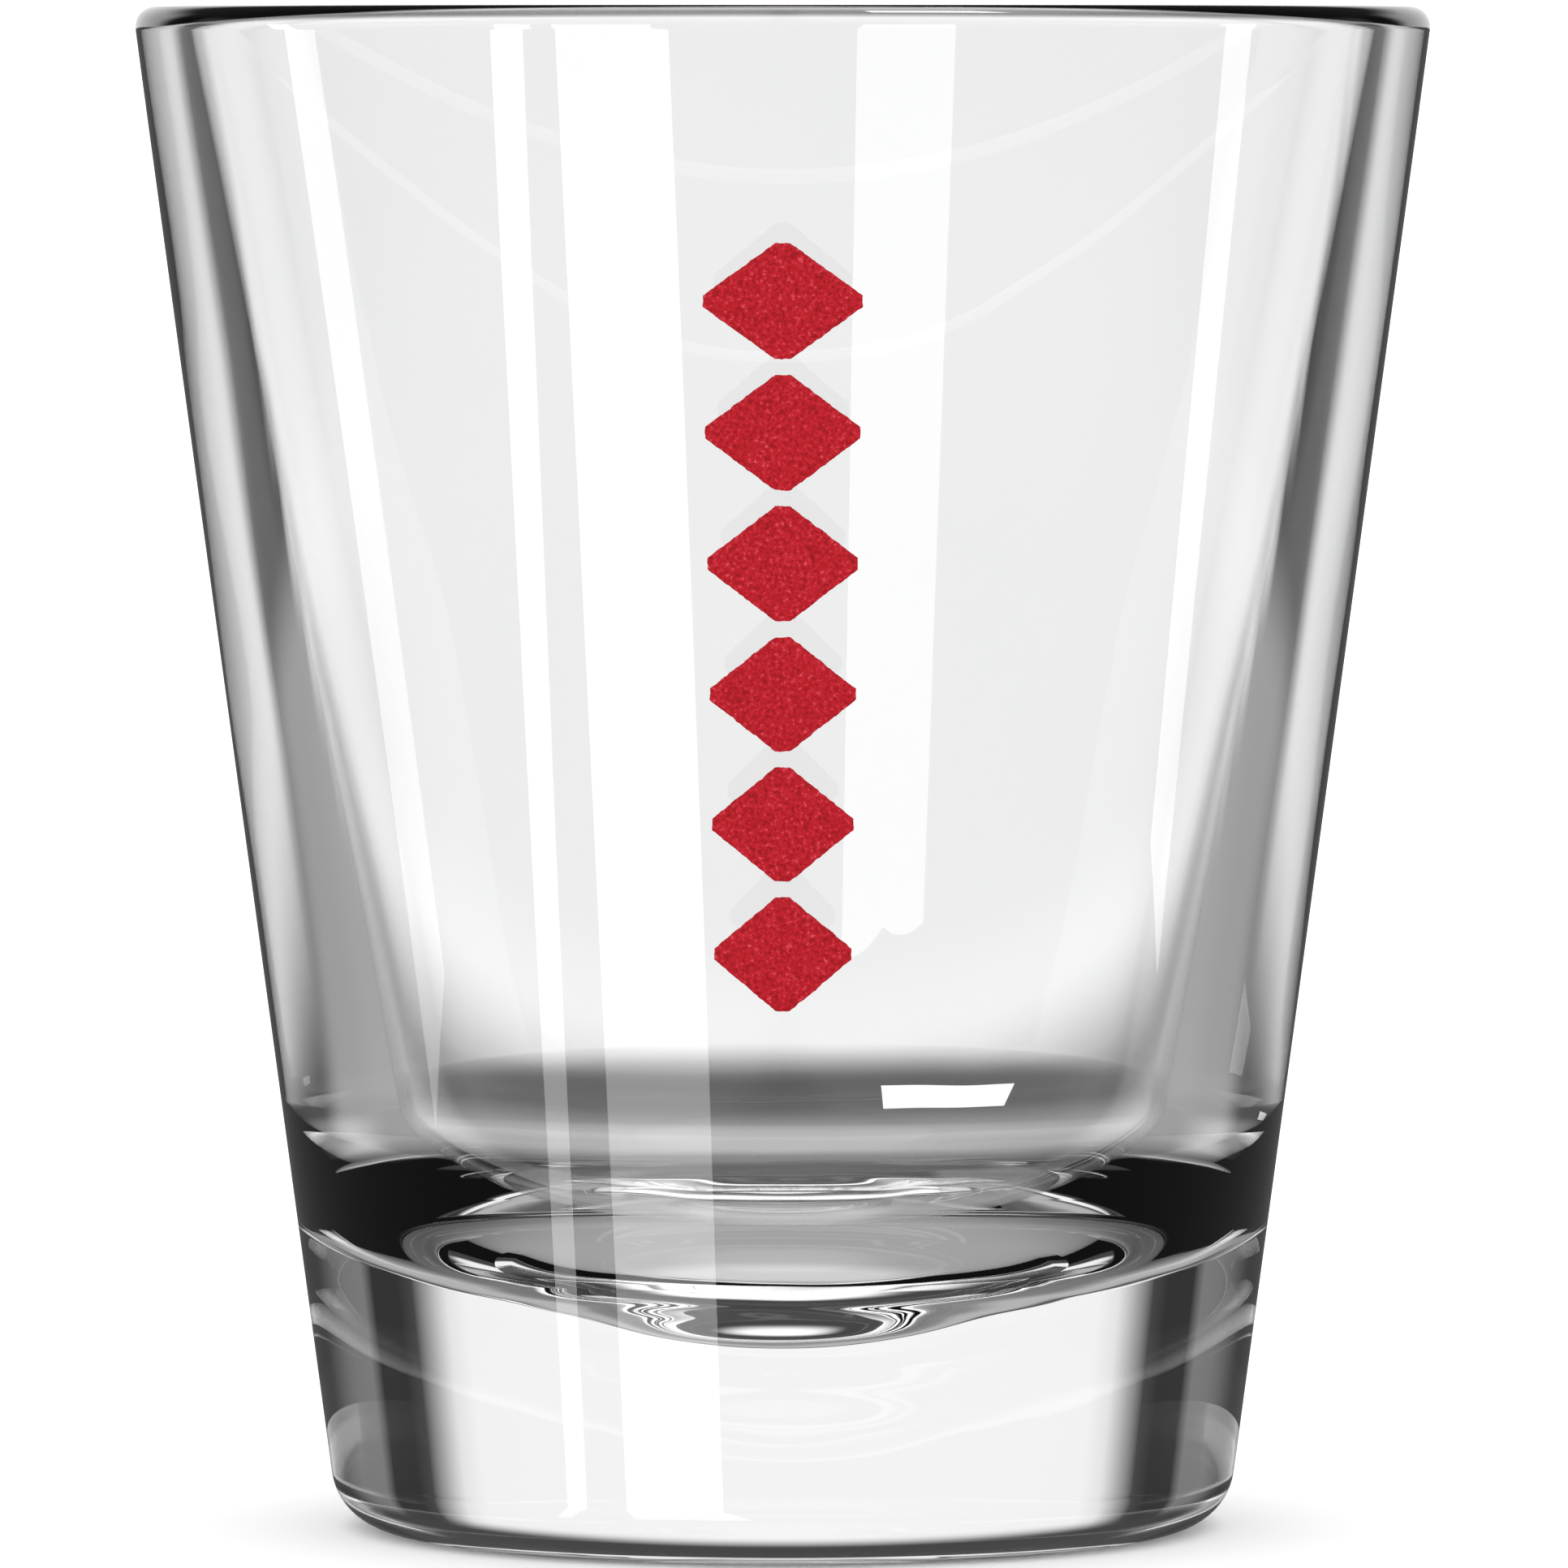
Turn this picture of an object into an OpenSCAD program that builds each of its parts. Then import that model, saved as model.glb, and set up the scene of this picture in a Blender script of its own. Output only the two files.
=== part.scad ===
// Heavy-base shot glass with a printed column of ornaments.
// Millimetres. +Z is up, and the origin is the centre of the foot on the table plane.
// The glass is one pressed piece. Each ornament is its own patch of fired enamel on the outside.

/* [Glass body] */
// Overall height
height = 60; // [56:1:66]
// Outer diameter that the straight wall reaches at the height of the rim
mouth_d = 51.2; // [49.2:0.2:54]
// Outer diameter that the straight wall reaches at the table
base_d = 35.1; // [33:0.1:38]
// Radius of the rounded heel, between the wall and the foot
heel_r = 2.5; // [1:0.1:3]

/* [Rim] */
// Radial thickness of the wall at the rim
rim_wall = 2; // [2:0.05:2.6]
// Radius of the rim's outer edge
rim_outer_r = 0.8; // [0.6:0.05:1]
// Width of the narrow flat on top of the rim
rim_land = 0.5; // [0.1:0.05:0.6]

/* [Cavity] */
// Thickness of the solid base on the axis, in the dimple
floor_z = 8.4; // [7:0.1:11]
// Depth of the dimple in the middle of the cavity's floor
dimple_depth = 0.8; // [0.4:0.1:1]
// Radius of the dimple's curve
dimple_r = 11.4; // [8:0.2:14]
// Radius of the cavity's dished floor
bowl_r = 30; // [22:0.5:34]
// Radius of the corner between the floor and the inner wall
corner_r = 8.5; // [6:0.5:10]
// Radial thickness of the wall where it meets the solid base
low_wall = 4.2; // [3.6:0.1:4.6]
// Height at which that thickness is reached
low_wall_z = 22.7; // [21:0.1:25]

/* [Foot] */
// Diameter of the shallow dish under the foot
punt_d = 25; // [18:0.5:27]
// Depth of that dish on the axis
punt_depth = 0.7; // [0.3:0.1:1.2]

/* [Print] */
// Number of ornaments in the column
ornament_count = 6; // [3:1:6]
// Height of the column's lower end
print_z = 21.7; // [18:0.1:24]
// Height of the column from end to end
print_h = 29.3; // [24:0.1:31]
// Gap between two ornaments
print_gap = 0.6; // [0.3:0.1:1.2]
// Angle that an ornament covers around the glass, in degrees
print_angle = 14.4; // [8:0.2:24]
// Thickness of the enamel
ink_t = 0.06; // [0.04:0.01:0.2]
// Length of the blunt end that replaces a lozenge's point, as a share of the lozenge
blunt_share = 0.1; // [0.04:0.02:0.4]

/* [Hidden] */
$fn = 128;
// How far a cutting or clipping shape runs past what it cuts.
past_end = 5;

// Outer wall: a cone whose radius grows with height.
outer_slope = (mouth_d - base_d) / 2 / height;
outer_lean = atan(outer_slope);
function outer_r(z) = base_d / 2 + outer_slope * z;

// Inner wall: a cone that widens faster, set by the wall's thickness at two heights.
inner_mouth_r = mouth_d / 2 - rim_wall;
inner_slope = (inner_mouth_r - outer_r(low_wall_z) + low_wall) / (height - low_wall_z);
inner_lean = atan(inner_slope);
function inner_r(z) = inner_mouth_r - inner_slope * (height - z);

// Directions square to the walls, as [outward, up].
outer_normal = [cos(outer_lean), -sin(outer_lean)];
inner_normal = [cos(inner_lean), -sin(inner_lean)];

// Rounded edges: each centre as [radius, height]. The rim's inner radius fills what the land leaves.
heel_c = [outer_r(heel_r) - heel_r / cos(outer_lean), heel_r];
rim_outer_c = [outer_r(height - rim_outer_r) - rim_outer_r / cos(outer_lean), height - rim_outer_r];
rim_inner_r = (rim_outer_c.x - rim_land - inner_mouth_r) / (1 / cos(inner_lean) - inner_slope);
rim_inner_c = [rim_outer_c.x - rim_land, height - rim_inner_r];

// Dished floor: an arc about a point on the axis. The corner arc touches it from inside and also touches the
// inner wall, so its centre is corner_r off the wall and bowl_r - corner_r away from the floor's centre.
// Those two distances give a quadratic for its height above the floor's centre.
bowl_c = [0, floor_z + dimple_depth + bowl_r];
centre_gap = bowl_r - corner_r;
level_r = inner_r(bowl_c.y) - corner_r / cos(inner_lean);
quad_a = 1 + inner_slope * inner_slope;
quad_b = level_r * inner_slope;
quad_c = level_r * level_r - centre_gap * centre_gap;
corner_dz = (-quad_b - sqrt(quad_b * quad_b - quad_a * quad_c)) / quad_a;
corner_c = bowl_c + [level_r + inner_slope * corner_dz, corner_dz];
corner_dir = (corner_c - bowl_c) / centre_gap;

// Dish under the foot: a sphere that reaches punt_depth above the table on the axis.
punt_r = (punt_d * punt_d / 4 + punt_depth * punt_depth) / (2 * punt_depth);

ornament_h = (print_h + print_gap) / ornament_count - print_gap;

// Slice of a disc between two directions less than 80 degrees apart.
module sector(centre, r, from, to) {
    intersection() {
        translate(centre) circle(r);
        polygon([centre, centre + (r + past_end) * from, centre + (r + past_end) * to]);
    }
}

module outer_section() {
    polygon([
        [0, 0], [heel_c.x, 0], heel_c + heel_r * outer_normal,
        rim_outer_c + rim_outer_r * outer_normal, [rim_outer_c.x, height], [0, height]
    ]);
    translate(heel_c) circle(heel_r);
    translate(rim_outer_c) circle(rim_outer_r);
}

module cavity_section() {
    difference() {
        polygon([
            [0, floor_z + dimple_depth], bowl_c + bowl_r * corner_dir, corner_c + corner_r * inner_normal,
            rim_inner_c - rim_inner_r * inner_normal, [rim_inner_c.x, height],
            [rim_inner_c.x, height + past_end], [0, height + past_end]
        ]);
        translate(rim_inner_c) circle(rim_inner_r);
    }
    intersection() {
        union() {
            translate(corner_c) circle(corner_r);
            sector(bowl_c, bowl_r, [0, -1], corner_dir);
            translate([0, floor_z + dimple_r]) circle(dimple_r);
        }
        square([mouth_d, height]);
    }
}

module tumbler() {
    color([0.93, 0.95, 0.95, 0.35])
    difference() {
        rotate_extrude()
            difference() {
                outer_section();
                cavity_section();
            }
        translate([0, 0, punt_depth - punt_r]) sphere(punt_r);
    }
}

// Solid lozenge whose points are slightly blunt.
module lozenge(w, h) {
    b = blunt_share / 2;
    polygon([for (p = [
        [-b, 0.5], [b, 0.5], [0.5, b], [0.5, -b], [b, -0.5], [-b, -0.5], [-0.5, -b], [-0.5, b]
    ]) [p.x * w, p.y * h]]);
}

// A skin of the enamel's thickness on the outer wall, between two heights.
module enamel_skin(z0, z1) {
    t = ink_t / cos(outer_lean);
    rotate_extrude()
        polygon([[outer_r(z0), z0], [outer_r(z0) + t, z0], [outer_r(z1) + t, z1], [outer_r(z1), z1]]);
}

// Ornament number i, counted from the top: the part of the skin that lies behind a lozenge.
module ornament(i) {
    middle = print_z + print_h - (i - 0.5) * ornament_h - (i - 1) * print_gap;
    color([0.72, 0.17, 0.22])
    intersection() {
        enamel_skin(middle - ornament_h, middle + ornament_h);
        translate([0, 0, middle])
            rotate([90, 0, 0])
                linear_extrude(mouth_d)
                    lozenge(2 * outer_r(middle) * sin(print_angle / 2), ornament_h);
    }
}

tumbler();
for (i = [1:ornament_count])
    ornament(i);
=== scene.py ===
import bpy
import math
import numpy as np
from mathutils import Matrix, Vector, noise


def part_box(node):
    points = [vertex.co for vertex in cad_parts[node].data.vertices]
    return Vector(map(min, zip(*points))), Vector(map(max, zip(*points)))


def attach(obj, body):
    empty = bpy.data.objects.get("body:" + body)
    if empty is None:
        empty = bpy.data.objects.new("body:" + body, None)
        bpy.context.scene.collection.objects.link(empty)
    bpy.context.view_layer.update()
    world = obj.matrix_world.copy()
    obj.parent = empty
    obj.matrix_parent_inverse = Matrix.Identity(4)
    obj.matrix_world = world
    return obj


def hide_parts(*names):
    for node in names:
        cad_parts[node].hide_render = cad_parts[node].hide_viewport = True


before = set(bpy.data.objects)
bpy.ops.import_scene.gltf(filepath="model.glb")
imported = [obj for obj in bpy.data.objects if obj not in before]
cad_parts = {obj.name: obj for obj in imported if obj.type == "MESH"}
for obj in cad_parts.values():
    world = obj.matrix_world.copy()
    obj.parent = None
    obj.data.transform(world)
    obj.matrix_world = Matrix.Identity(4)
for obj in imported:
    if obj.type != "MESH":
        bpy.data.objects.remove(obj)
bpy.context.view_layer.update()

MM = 0.001
ROOT = "root"

# ---------------------------------------------------------------- sizes, in millimetres
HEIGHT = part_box("tumbler")[1][2] / MM
MOUTH_R = 25.6        # radius that the straight outer wall reaches at the rim's height
BASE_R = 17.55        # radius that it reaches at the table
HEEL_R = 2.5          # heel between the wall and the foot
RIM_WALL = 2.0        # wall's thickness at the rim
RIM_OUTER_R = 0.8     # rim's outer edge
RIM_LAND = 0.5        # narrow flat on top of the rim
FLOOR_Z = 8.4         # bottom of the cavity, in the dimple
DIMPLE_DEPTH = 0.8
DIMPLE_R = 11.4
DIMPLE_BLEND = 0.3    # softens the edge between the dimple and the dished floor
DIMPLE_CORE = 3.0     # the blend's error at the axis is spread over this radius
BOWL_R = 30.0         # dished floor of the cavity
CORNER_R = 8.5        # corner between that floor and the inner wall
LOW_WALL, LOW_WALL_Z = 4.2, 22.7      # wall's thickness low down, and the height where it is reached
PUNT_R, PUNT_DEPTH = 12.5, 0.7        # shallow dish under the foot

SEGMENTS = 288        # around the glass
GUARD = 0.04          # distance of a wall's last point from its end
WALL_SWELL = 0.02     # unevenness of pressed glass: the inner wall, the outer wall and the cavity's floor
OUTER_SWELL = 0.004
FLOOR_SWELL = 0.03
FLOOR_RINGS = 0.012   # faint rings in the floor, and their pitch
RING_PITCH = 2.6
EVEN_RIM = 3          # the rim stays even down to this far below its top
EVEN_FADE = 10        # and the unevenness then grows over this height
FLOOR_TO_WALL = (11, 19)              # heights between which the cavity's swell turns from upward to outward

OUTER_SLOPE = (MOUTH_R - BASE_R) / HEIGHT
OUTER_LEAN = math.atan(OUTER_SLOPE)


def outer_r(z):
    return BASE_R + OUTER_SLOPE * z


INNER_MOUTH_R = MOUTH_R - RIM_WALL
INNER_SLOPE = (INNER_MOUTH_R - outer_r(LOW_WALL_Z) + LOW_WALL) / (HEIGHT - LOW_WALL_Z)
INNER_LEAN = math.atan(INNER_SLOPE)


def inner_r(z):
    return INNER_MOUTH_R - INNER_SLOPE * (HEIGHT - z)


# ---------------------------------------------------------------- glass
def arc(centre, radius, start, end, steps):
    """Points on an arc in the (radius, height) plane, from one angle to another, in radians."""
    a = np.linspace(start, end, steps + 1)
    return np.column_stack([centre[0] + radius * np.cos(a), centre[1] + radius * np.sin(a)])


def line(start, end, steps, guard=0.0):
    """Points on a line. guard adds a point this far inside each end, which keeps smooth shading flat up to
    the end."""
    t = np.linspace(0, 1, steps + 1)
    if guard:
        share = guard / math.dist(start, end)
        t = np.sort(np.append(t, [share, 1 - share]))
    return (1 - t[:, None]) * np.array(start) + t[:, None] * np.array(end)


def glass_sections():
    """The outer skin from the foot's centre to the rim, and the inner skin from the rim to the cavity's
    floor."""
    heel = (outer_r(HEEL_R) - HEEL_R / math.cos(OUTER_LEAN), HEEL_R)
    rim_z = HEIGHT - RIM_OUTER_R
    rim = (outer_r(rim_z) - RIM_OUTER_R / math.cos(OUTER_LEAN), rim_z)
    lip_x = rim[0] - RIM_LAND
    lip_r = (lip_x - INNER_MOUTH_R) / (1 / math.cos(INNER_LEAN) - INNER_SLOPE)
    lip = (lip_x, HEIGHT - lip_r)
    bowl = (0.0, FLOOR_Z + DIMPLE_DEPTH + BOWL_R)
    gap = BOWL_R - CORNER_R
    level = inner_r(bowl[1]) - CORNER_R / math.cos(INNER_LEAN)
    a, b, c = 1 + INNER_SLOPE**2, level * INNER_SLOPE, level**2 - gap**2
    dz = (-b - math.sqrt(b * b - a * c)) / a
    corner = (level + INNER_SLOPE * dz, bowl[1] + dz)
    turn = math.atan2(corner[1] - bowl[1], corner[0])
    punt = (PUNT_R**2 + PUNT_DEPTH**2) / (2 * PUNT_DEPTH)
    punt_turn = math.atan2(punt - PUNT_DEPTH, PUNT_R)
    up = math.pi / 2

    outer = [
        arc((0, PUNT_DEPTH - punt), punt, up, punt_turn, 14),
        line((PUNT_R, 0), (heel[0], 0), 5, GUARD),
        arc(heel, HEEL_R, -up, -OUTER_LEAN, 14),
    ]
    outer.append(line(outer[-1][-1], arc(rim, RIM_OUTER_R, -OUTER_LEAN, up, 1)[0], 60, GUARD))
    outer.append(arc(rim, RIM_OUTER_R, -OUTER_LEAN, up, 14))
    inner = [arc(lip, lip_r, up, math.pi - INNER_LEAN, 6)]
    corner_arc = arc(corner, CORNER_R, -INNER_LEAN, turn, 24)
    inner += [line(inner[0][-1], corner_arc[0], 60, GUARD), corner_arc]
    r = np.linspace(corner_arc[-1][0], 0, 60)
    dish = bowl[1] - np.sqrt(BOWL_R**2 - r**2)
    dimple = FLOOR_Z + DIMPLE_R - np.sqrt(np.maximum(DIMPLE_R**2 - r**2, 0))
    low = (dish + dimple - np.sqrt((dish - dimple) ** 2 + DIMPLE_BLEND**2)) / 2
    low += (FLOOR_Z - low[-1]) * np.exp(-((r / DIMPLE_CORE) ** 2))
    low[0] = dish[0]
    inner.append(np.column_stack([r, low]))
    join = lambda parts: np.vstack([parts[0]] + [p[1:] for p in parts[1:]])
    return join(outer), join(inner)


def lathe(name, section, segments=SEGMENTS):
    """A closed body of revolution about Z from an open section whose ends lie on the axis."""
    turn = np.linspace(0, 2 * math.pi, segments, endpoint=False)
    ring = section[1:-1]
    x = ring[:, :1] * np.cos(turn)
    y = ring[:, :1] * np.sin(turn)
    z = np.repeat(ring[:, 1:], segments, axis=1)
    verts = np.stack([x, y, z], axis=2).reshape(-1, 3)
    first, last = len(verts), len(verts) + 1
    verts = np.vstack([verts, [0, 0, section[0, 1]], [0, 0, section[-1, 1]]])
    faces = []
    rows = len(ring)
    for j in range(segments):
        k = (j + 1) % segments
        faces.append((first, k, j))
        faces += [(i * segments + j, i * segments + k, (i + 1) * segments + k, (i + 1) * segments + j)
                  for i in range(rows - 1)]
        faces.append(((rows - 1) * segments + j, (rows - 1) * segments + k, last))
    mesh = bpy.data.meshes.new(name)
    mesh.from_pydata((verts * MM).tolist(), [], faces)
    mesh.polygons.foreach_set("use_smooth", [True] * len(mesh.polygons))
    mesh.update()
    piece = bpy.data.objects.new(name, mesh)
    bpy.context.scene.collection.objects.link(piece)
    return piece


def ripple(points, size, seed):
    """Smooth noise, about -1 to 1, at points in mm. size is how far apart its swells are."""
    shift = Vector((seed * 17.3, seed * 9.1, seed * 4.7))
    return np.array([noise.noise(Vector(p) / size + shift) for p in points]) * 1.6


def make_glass():
    """The pressed body. Its outside is nearly even, and its cavity swells slightly, mostly in the floor."""
    outer, inner = glass_sections()
    body = lathe("glass_body", np.vstack([outer, inner]))
    mesh = body.data
    at = np.empty(len(mesh.vertices) * 3)
    mesh.vertices.foreach_get("co", at)
    at = at.reshape(-1, 3) / MM
    r = np.hypot(at[:, 0], at[:, 1])
    rows = len(outer) + len(inner)
    ring = np.arange(len(at)) // SEGMENTS
    inside = (ring >= len(outer) - 1) & (ring < rows - 2) | (np.arange(len(at)) == len(at) - 1)
    floor_z, wall_z = FLOOR_TO_WALL
    lean = np.clip((at[:, 2] - floor_z) / (wall_z - floor_z), 0, 1)
    out = np.column_stack([at[:, 0] / np.maximum(r, 0.01), at[:, 1] / np.maximum(r, 0.01)]) * lean[:, None]
    below_rim = np.clip((HEIGHT - EVEN_RIM - at[:, 2]) / EVEN_FADE, 0, 1)
    wall = WALL_SWELL * ripple(at, 14, 1) + WALL_SWELL * 0.4 * ripple(at * [1, 1, 0.4], 5, 2)
    floor = FLOOR_SWELL * (ripple(at, 7, 3) + 0.5 * ripple(at, 3, 4)) * np.clip(r / 2, 0.3, 1)
    rings = FLOOR_RINGS * np.sin(r * 2 * math.pi / RING_PITCH + 1.5 * ripple(at, 9, 5)) * np.clip(r / 4, 0, 1)
    depth = (wall * lean + (floor + rings) * (1 - lean)) * inside * below_rim
    at[:, 0] += out[:, 0] * depth
    at[:, 1] += out[:, 1] * depth
    at[:, 2] -= (1 - lean) * depth
    skin = ~inside & (at[:, 2] > HEEL_R) & (at[:, 2] < HEIGHT - EVEN_RIM)
    even = OUTER_SWELL * ripple(at, 18, 6) * skin * below_rim
    at[:, 0] += at[:, 0] / np.maximum(r, 1) * even
    at[:, 1] += at[:, 1] / np.maximum(r, 1) * even
    mesh.vertices.foreach_set("co", (at * MM).ravel())
    mesh.update()
    return body


# ---------------------------------------------------------------- print
BLUNT_SHARE = 0.1     # length of a blunt point, as a share of the lozenge
INK_OVER = 0.06       # how far the enamel stands out from the glass
INK_UNDER = 0.02      # how far it has fused in
INK_GRAIN = 0.12      # how uneven its skin is, as a share of its thickness
EDGE_WEAR = 0.022     # how far the edge wanders
EDGE_ROUND = 0.16     # width of the band at the edge where the enamel thins out
EDGE_STEP = 0.06      # distance between two points on the outline
ORNAMENTS = sorted(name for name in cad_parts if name.startswith("ornament_"))


def mix(a, b, t):
    return a + (b - a) * t


def along(corners, step):
    """Points about this far apart along a closed outline, in order."""
    points = []
    for p, q in zip(corners, np.roll(corners, -1, axis=0)):
        count = max(round(math.dist(p, q) / step), 1)
        points += [mix(p, q, i / count) for i in range(count)]
    return np.array(points)


def on_wall(flat, lift):
    """Points this far outside the outer wall, in front of points in the (x, z) plane."""
    r = outer_r(flat[:, 1]) + lift
    return np.column_stack([flat[:, 0], -np.sqrt(r**2 - flat[:, 0] ** 2), flat[:, 1]])


def make_ornament(node):
    """A blunt lozenge of enamel: rings from its middle out to its worn edge, and back again underneath."""
    low, high = (np.array(corner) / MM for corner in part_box(node))
    size = (high - low)[[0, 2]]
    centre = ((low + high) / 2)[[0, 2]]
    b = BLUNT_SHARE / 2
    corners = [(b, 0.5), (-b, 0.5), (-0.5, b), (-0.5, -b), (-b, -0.5), (b, -0.5), (0.5, -b), (0.5, b)]
    edge = along(np.array(corners) * size, EDGE_STEP)
    count = len(edge)
    seed = 3 * int(node.split("_")[-1])
    places = np.column_stack([edge, np.zeros(count)])
    wear = EDGE_WEAR * (ripple(places, 0.22, seed) + 0.6 * ripple(places, 0.07, seed + 1))
    wear = np.clip(wear, -2 * EDGE_WEAR, 2 * EDGE_WEAR)
    edge += edge / np.linalg.norm(edge, axis=1)[:, None] * wear[:, None]

    shares = np.concatenate([np.linspace(0.06, 0.9, 14), [0.93, 0.955, 0.975, 0.99, 1]])
    rings = []
    for share in shares:
        flat = centre + edge * share
        inward = (1 - share) * min(size) / 2.4
        thickness = INK_OVER * (0.35 + 0.65 * math.sqrt(min(inward / EDGE_ROUND, 1)))
        grain = ripple(np.column_stack([flat, np.zeros(count)]), 0.12, 8)
        rings.append(on_wall(flat, thickness * (1 + INK_GRAIN * grain)))
    rings += [on_wall(centre + edge * share, -INK_UNDER) for share in reversed(shares)]
    poles = [on_wall(centre[None], lift) for lift in (INK_OVER, -INK_UNDER)]
    verts = np.vstack(rings + poles)
    top, bottom = len(verts) - 2, len(verts) - 1
    last = (len(rings) - 1) * count
    faces = []
    for j in range(count):
        k = (j + 1) % count
        faces.append((top, j, k))
        faces += [(i + j, i + count + j, i + count + k, i + k) for i in range(0, last, count)]
        faces.append((bottom, last + k, last + j))
    mesh = bpy.data.meshes.new("ink_" + node)
    mesh.from_pydata((verts * MM).tolist(), [], faces)
    mesh.polygons.foreach_set("use_smooth", [True] * len(mesh.polygons))
    mesh.update()
    piece = bpy.data.objects.new("ink_" + node, mesh)
    bpy.context.scene.collection.objects.link(piece)
    return piece


# ---------------------------------------------------------------- materials
def new_material(name):
    mat = bpy.data.materials.new(name)
    mat.use_nodes = True
    nodes, links = mat.node_tree.nodes, mat.node_tree.links
    return mat, nodes, links, nodes["Principled BSDF"]


def glass_material():
    mat, nodes, links, p = new_material("clear_glass")
    p.inputs["Transmission Weight"].default_value = 1
    p.inputs["IOR"].default_value = 1.52
    p.inputs["Roughness"].default_value = 0
    place = nodes.new("ShaderNodeTexCoord")
    cloud = nodes.new("ShaderNodeTexNoise")
    cloud.inputs["Scale"].default_value = 90
    cloud.inputs["Detail"].default_value = 3
    links.new(place.outputs["Object"], cloud.inputs["Vector"])
    tint = nodes.new("ShaderNodeValToRGB")
    tint.color_ramp.elements[0].position = 0.3
    tint.color_ramp.elements[0].color = (0.962, 0.966, 0.965, 1)
    tint.color_ramp.elements[1].position = 0.7
    tint.color_ramp.elements[1].color = (0.974, 0.976, 0.975, 1)
    links.new(cloud.outputs["Fac"], tint.inputs["Fac"])
    links.new(tint.outputs["Color"], p.inputs["Base Color"])
    return mat


def enamel_material():
    mat, nodes, links, p = new_material("red_enamel")
    place = nodes.new("ShaderNodeTexCoord")
    grain = nodes.new("ShaderNodeTexNoise")
    grain.inputs["Scale"].default_value = 6500
    grain.inputs["Detail"].default_value = 3
    grain.inputs["Roughness"].default_value = 0.7
    links.new(place.outputs["Object"], grain.inputs["Vector"])
    reds = nodes.new("ShaderNodeValToRGB")
    stops = reds.color_ramp.elements
    stops[0].position, stops[0].color = 0.33, (0.22, 0.001, 0.004, 1)
    stops[1].position, stops[1].color = 0.74, (0.60, 0.09, 0.12, 1)
    for position, color in ((0.48, (0.36, 0.003, 0.010, 1)), (0.6, (0.42, 0.009, 0.020, 1))):
        stops.new(position).color = color
    links.new(grain.outputs["Fac"], reds.inputs["Fac"])
    links.new(reds.outputs["Color"], p.inputs["Base Color"])
    p.inputs["Specular IOR Level"].default_value = 0.12
    matt = nodes.new("ShaderNodeMapRange")
    matt.inputs["To Min"].default_value = 0.35
    matt.inputs["To Max"].default_value = 0.7
    links.new(grain.outputs["Fac"], matt.inputs["Value"])
    links.new(matt.outputs["Result"], p.inputs["Roughness"])
    bump = nodes.new("ShaderNodeBump")
    bump.inputs["Strength"].default_value = 0.5
    bump.inputs["Distance"].default_value = 0.00003
    links.new(grain.outputs["Fac"], bump.inputs["Height"])
    links.new(bump.outputs["Normal"], p.inputs["Normal"])
    return mat


# ---------------------------------------------------------------- studio
# Azimuth 0 is straight behind the glass, 90 is to its right and 180 is the camera's side. Angles are in
# degrees.
def on_floor(az, r, z=0.0):
    a = math.radians(az)
    return (r * MM * math.sin(a), r * MM * math.cos(a), z * MM)


def on_dome(az, el, distance):
    a, e = math.radians(az), math.radians(el)
    level = distance * math.cos(e)
    return (level * math.sin(a), level * math.cos(a), distance * math.sin(e))


def rise(x, start, end):
    """0 before start, 1 after end and smooth between them."""
    t = min(max((x - start) / (end - start), 0), 1)
    return t * t * (3 - 2 * t)


def card(name, grid, seen):
    """A glowing surface from rows of (place, level). Only the glass shows it: "mirrored" in a surface, as the
    last thing that a ray meets "through" the glass, or "both". The camera and the floor don't see it."""
    rows, columns = len(grid), len(grid[0])
    faces = [
        (j * columns + i, j * columns + i + 1, (j + 1) * columns + i + 1, (j + 1) * columns + i)
        for j in range(rows - 1) for i in range(columns - 1)
    ]
    mesh = bpy.data.meshes.new(name)
    mesh.from_pydata([place for row in grid for place, level in row], [], faces)
    glow = mesh.attributes.new("glow", "FLOAT", "POINT")
    glow.data.foreach_set("value", [level for row in grid for place, level in row])
    piece = bpy.data.objects.new(name, mesh)
    bpy.context.scene.collection.objects.link(piece)
    mat = bpy.data.materials.new(name)
    mat.use_nodes = True
    nodes, links = mat.node_tree.nodes, mat.node_tree.links
    nodes.remove(nodes["Principled BSDF"])
    read = nodes.new("ShaderNodeAttribute")
    read.attribute_name = "glow"
    emit = nodes.new("ShaderNodeEmission")
    links.new(read.outputs["Fac"], emit.inputs["Strength"])
    links.new(emit.outputs["Emission"], nodes["Material Output"].inputs["Surface"])
    mesh.materials.append(mat)
    piece.visible_camera = False
    piece.visible_diffuse = False
    piece.visible_shadow = False
    piece.visible_volume_scatter = False
    piece.visible_glossy = seen in ("mirrored", "both")
    piece.visible_transmission = seen in ("through", "both")


def strip(name, rows, tilt=0.0):
    """A bright strip that the outer skin mirrors. Each row is (elevation, first azimuth, last azimuth, level)
    and tilt is how much higher the rows' last ends are."""
    between = [(a, b, t / 6) for a, b in zip(rows, rows[1:]) for t in range(6)] + [(rows[-1], rows[-1], 0)]
    grid = []
    for a, b, t in between:
        el, first, last, level = (mix(p, q, t) for p, q in zip(a, b))
        across = [(mix(first, last, u), el + tilt * u) for u in (0, 0.5, 1)]
        grid.append([(on_dome(az, lift, STRIP_REACH), level) for az, lift in across])
    card(name, grid, "mirrored")


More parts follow.
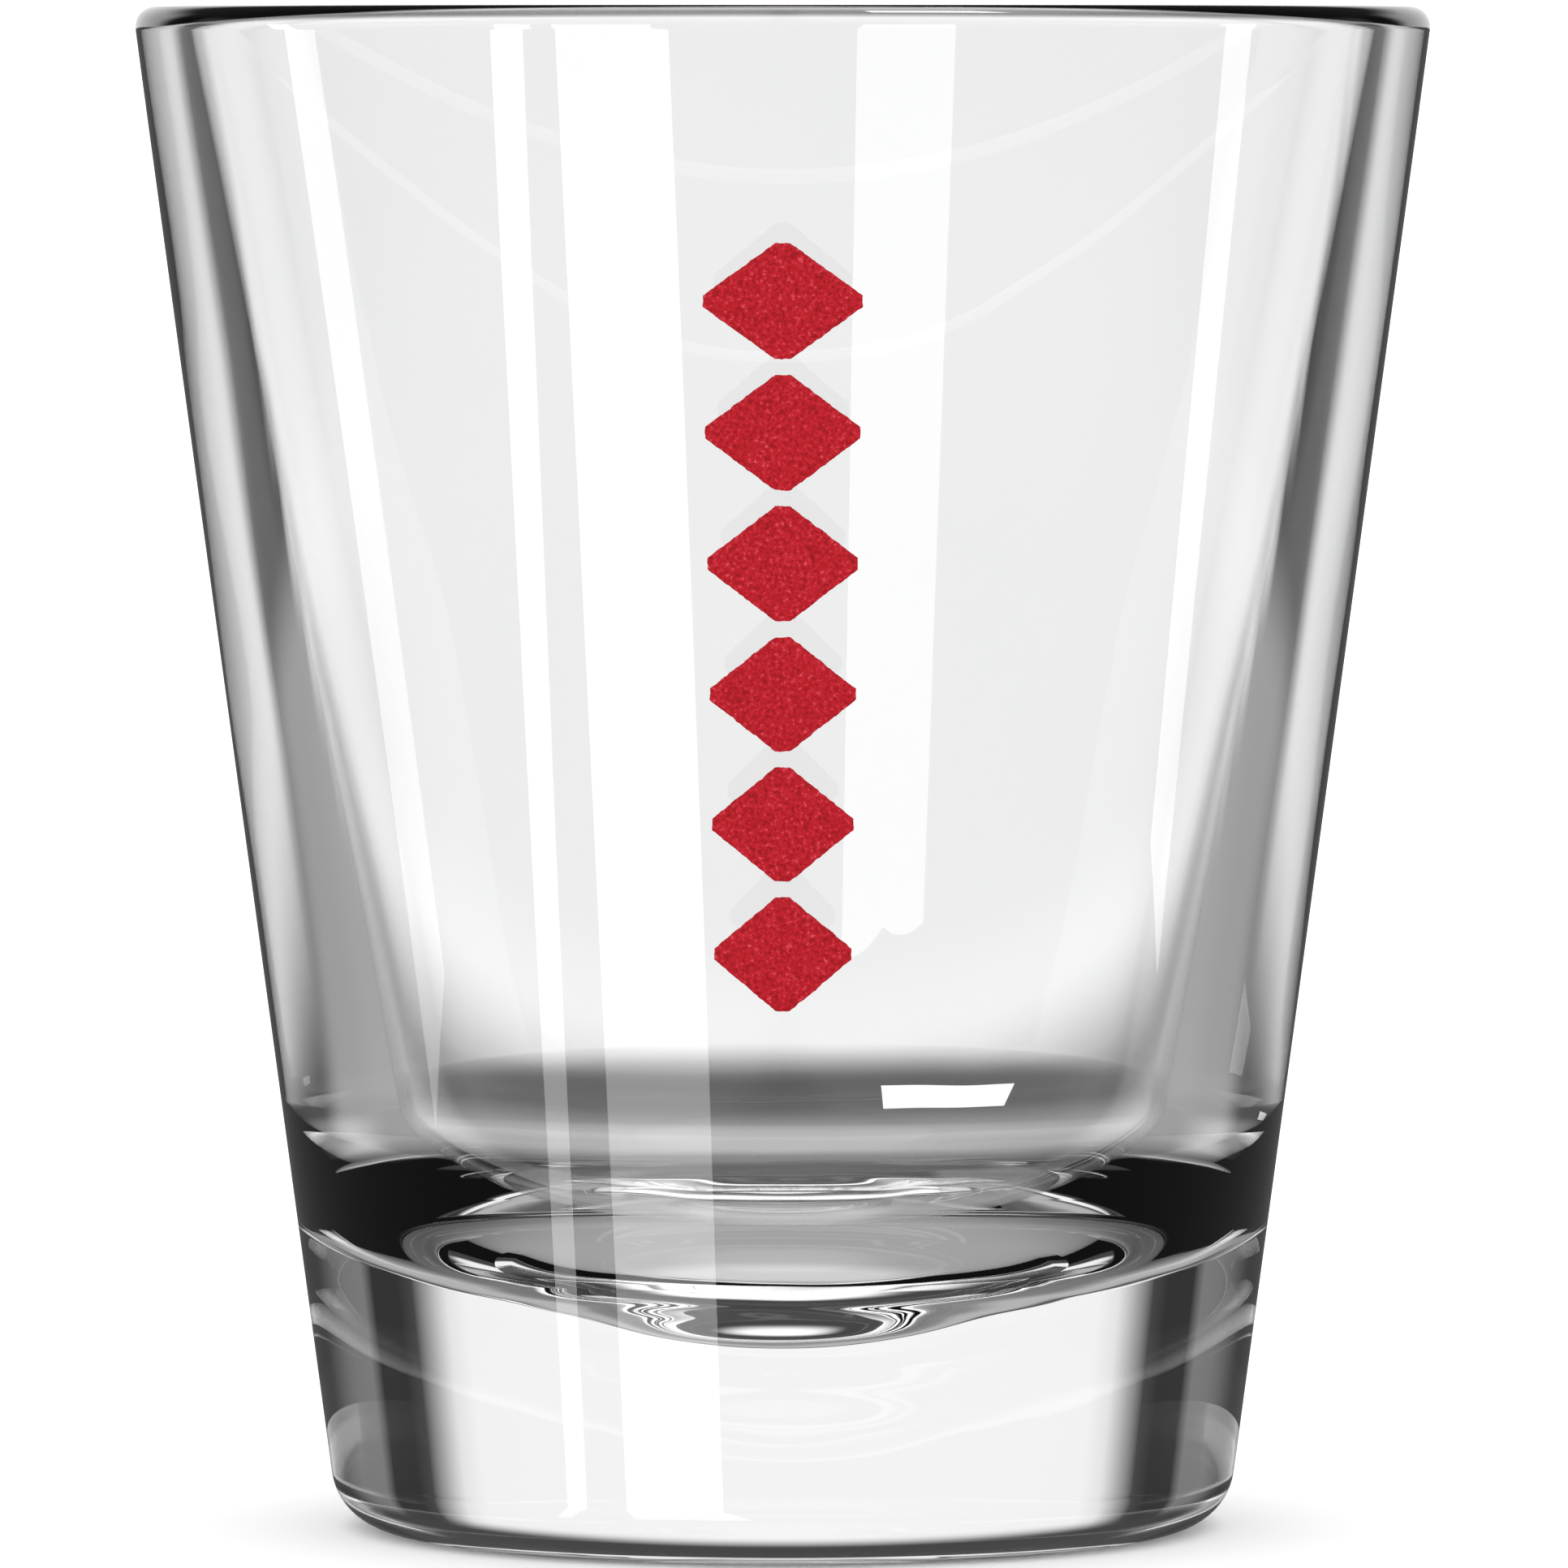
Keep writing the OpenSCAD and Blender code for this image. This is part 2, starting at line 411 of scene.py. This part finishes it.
# What the glass shows around it: a bright backdrop and a pale floor between dark flags, an overhead light and
# a dark room on the camera's side. That floor carries painted shade round the glass and painted light under
# its foot. A plain name is a brightness. EDGE and SPAN say where something starts and
# ends: azimuths to either side, elevations, or reaches on the floor in millimetres.
BRIGHT, FLAG_EDGE = 0.97, (31, 40)              # backdrop and far floor, and where the flags cut them off
DARK, CAMERA_SIDE_EDGE = 0.03, (90, 120)        # flags, and the room on the camera's side
SIDE_GLOW, SIDE_SPAN = 0.2, (48, 51, 55, 75)    # what shows through a gap beyond the flags
CEILING, CEILING_EDGE = 0.06, (15, 25)
OVERHEAD, OVERHEAD_EDGE = 1.5, (50, 65)
FAR_FLOOR_EDGE = (80, 150)                      # where the floor brightens behind the glass
FRONT_FLOOR_EDGE, FRONT_EDGE = (20, 70), (75, 105)     # and in front of it, and the azimuths between the two
SIDE_SLANT, SIDE_FLOOR_EDGE = 0.9, (45, 55)     # the lit floor at the sides has a slanting edge
NEAR, NEAR_EDGE = 0.1, (150, 200)               # painted shade: the floor around the glass, dim where nothing else lights it
SHADE, SHADE_SPAN = 0.4, (17, 28, 36, 66)       # painted shade: the floor just behind the glass, at the level of the glass's own shade
SHADE_SIDE_EDGE = (45, 70)
SPILL, SPILL_SPAN = 0.3, (20, 40, 130, 160)     # painted light past the flags on the floor
SPILL_SIDE_EDGE = (30, 45)
FOOT_SHIFT = 2                                  # the light under the foot is this much nearer to the camera
UNDER, UNDER_EDGE = 0.3, (14, 18)               # painted light under the foot, and more of it in the middle
MIDDLE, MIDDLE_EDGE = 0.3, (4, 7)
WINDOW, WINDOW_Z = 1.2, 0.2                     # small light that shows in the bowl, just clear of the floor
WINDOW_AZ, WINDOW_SPAN, WINDOW_SKEW = (6, 15.5), (60, 76), 0.06
WORLD = 1.5                                     # even light on the print and on the real floor
REAL_FLOOR_REACH, DOME_REACH, MIRRORED_REACH, STRIP_REACH = 30.0, 9.0, 8.5, 8.0     # in metres
BELOW = 0.12                                    # what the outside mirrors of the floor


def band(x, start, full, fade, end):
    """1 from full to fade, and 0 before start and after end."""
    return rise(x, start, full) * (1 - rise(x, fade, end))


def backdrop_level(az, el):
    side = abs(az)
    across = DARK + BRIGHT * (1 - rise(side, *FLAG_EDGE)) + SIDE_GLOW * band(side, *SIDE_SPAN)
    across = mix(across, CEILING, rise(el, *CEILING_EDGE))
    across = mix(across, DARK, rise(side, *CAMERA_SIDE_EDGE))
    return mix(across, OVERHEAD, rise(el, *OVERHEAD_EDGE))


# The floor that the glass shows, with its light and shade painted in: painted shade round the glass, painted
# light under its foot and past the flags.
def floor_level(az, r):
    side = abs(az)
    x, y = r * math.sin(math.radians(side)), r * math.cos(math.radians(side))
    open_floor = max(1 - rise(side, *FLAG_EDGE), rise(x - SIDE_SLANT * y, *SIDE_FLOOR_EDGE))
    bright = mix(rise(r, *FAR_FLOOR_EDGE), rise(r, *FRONT_FLOOR_EDGE), rise(side, *FRONT_EDGE))
    level = mix(NEAR, DARK, rise(r, *NEAR_EDGE)) + BRIGHT * bright * open_floor
    level += SHADE * band(r, *SHADE_SPAN) * (1 - rise(side, *SHADE_SIDE_EDGE))
    level += SPILL * band(r, *SPILL_SPAN) * rise(side, *SPILL_SIDE_EDGE)
    off = math.hypot(x, y + FOOT_SHIFT)
    return level + UNDER * (1 - rise(off, *UNDER_EDGE)) + MIDDLE * (1 - rise(off, *MIDDLE_EDGE))


def make_studio():
    floor_mesh = bpy.data.meshes.new("floor")
    far = REAL_FLOOR_REACH
    corners = [(-far, -far, 0), (far, -far, 0), (far, far, 0), (-far, far, 0)]
    floor_mesh.from_pydata(corners, [], [(0, 1, 2, 3)])
    floor = bpy.data.objects.new("floor", floor_mesh)
    bpy.context.scene.collection.objects.link(floor)
    mat, nodes, links, p = new_material("pale_floor")
    p.inputs["Base Color"].default_value = (0.95, 0.95, 0.95, 1)
    p.inputs["Roughness"].default_value = 1
    p.inputs["Specular IOR Level"].default_value = 0
    floor_mesh.materials.append(mat)
    floor.visible_glossy = False
    floor.visible_transmission = False

    world = bpy.data.worlds.new("studio")
    bpy.context.scene.world = world
    world.use_nodes = True
    world.node_tree.nodes["Background"].inputs["Color"].default_value = (1, 1, 1, 1)
    world.node_tree.nodes["Background"].inputs["Strength"].default_value = WORLD

    turns = range(-180, 181, 3)
    reaches = [0, 4, 5, 6, 7, 8, 12, 16, *range(17, 177, 2), 190, 220, 260, 320, 400, 600, 1500, 9000]
    # painted light and shade: the floor card that the glass shows in place of the real floor
    lit_floor = [[(on_floor(az, r), floor_level(az, r)) for az in turns] for r in reaches]
    card("painted_floor_through", lit_floor, "through")
    lifts = [0, 5, 10, 13, *range(15, 27), 30, 40, *range(50, 66, 3), 75, 89.9]
    dome = [[(on_dome(az, el, DOME_REACH), backdrop_level(az, el)) for az in turns] for el in lifts]
    card("dome", dome, "both")
    falls = [0, -10, -30, -60, -89.9]
    below = [[(on_dome(az, el, MIRRORED_REACH), BELOW) for az in turns] for el in falls]
    card("dome_mirrored", below, "mirrored")
    middle = sum(WINDOW_SPAN) / 2
    window = [[(on_floor(az - WINDOW_SKEW * (r - middle), r, WINDOW_Z), WINDOW) for az in WINDOW_AZ]
              for r in WINDOW_SPAN]
    card("window_through", window, "through")

    strip("strip_wide", [
        (8, -139, -157, 3.6), (-11, -139, -157, 3.6), (-20, -139, -164, 4), (-32, -139, -172, 2),
    ])
    strip("strip_narrow", [
        (8, -128, -135, 3.6), (-11, -128, -135, 3.6), (-18, -123, -129, 4), (-32, -115, -119, 2),
    ])
    strip("strip_left_edge", [(8, -76, -82, 3), (-8, -78, -84, 3), (-15, -92, -99, 2.5)])
    strip("strip_right", [(8, 150, 166, 4), (-18, 149, 167, 3)], tilt=-0.6)
    strip("strip_right_edge", [(8, 88, 97, 4), (-14, 88, 94, 3)])


def make_camera():
    scene = bpy.context.scene
    lens, distance, camera_z = 334.1, 0.5739, 0.05837
    aim_down, aim_right = math.radians(0.0662), math.radians(0.005)
    cam = bpy.data.objects.new("camera", bpy.data.cameras.new("camera"))
    scene.collection.objects.link(cam)
    cam.data.lens = lens
    cam.data.sensor_width = 36
    cam.data.clip_start, cam.data.clip_end = 0.01, 100
    cam.location = (0, -distance, camera_z)
    tilt = math.atan((camera_z - HEIGHT * MM / 2) / distance) + aim_down
    cam.rotation_euler = (math.pi / 2 - tilt, 0, -aim_right)
    scene.camera = cam


# ---------------------------------------------------------------- assembly
glass = make_glass()
glass.data.materials.append(glass_material())
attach(glass, ROOT)
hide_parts("tumbler")
enamel = enamel_material()
for name in ORNAMENTS:
    ink = make_ornament(name)
    ink.data.materials.append(enamel)
    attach(ink, ROOT)
    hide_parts(name)

make_studio()
make_camera()
scene = bpy.context.scene
scene.view_settings.view_transform = "Standard"
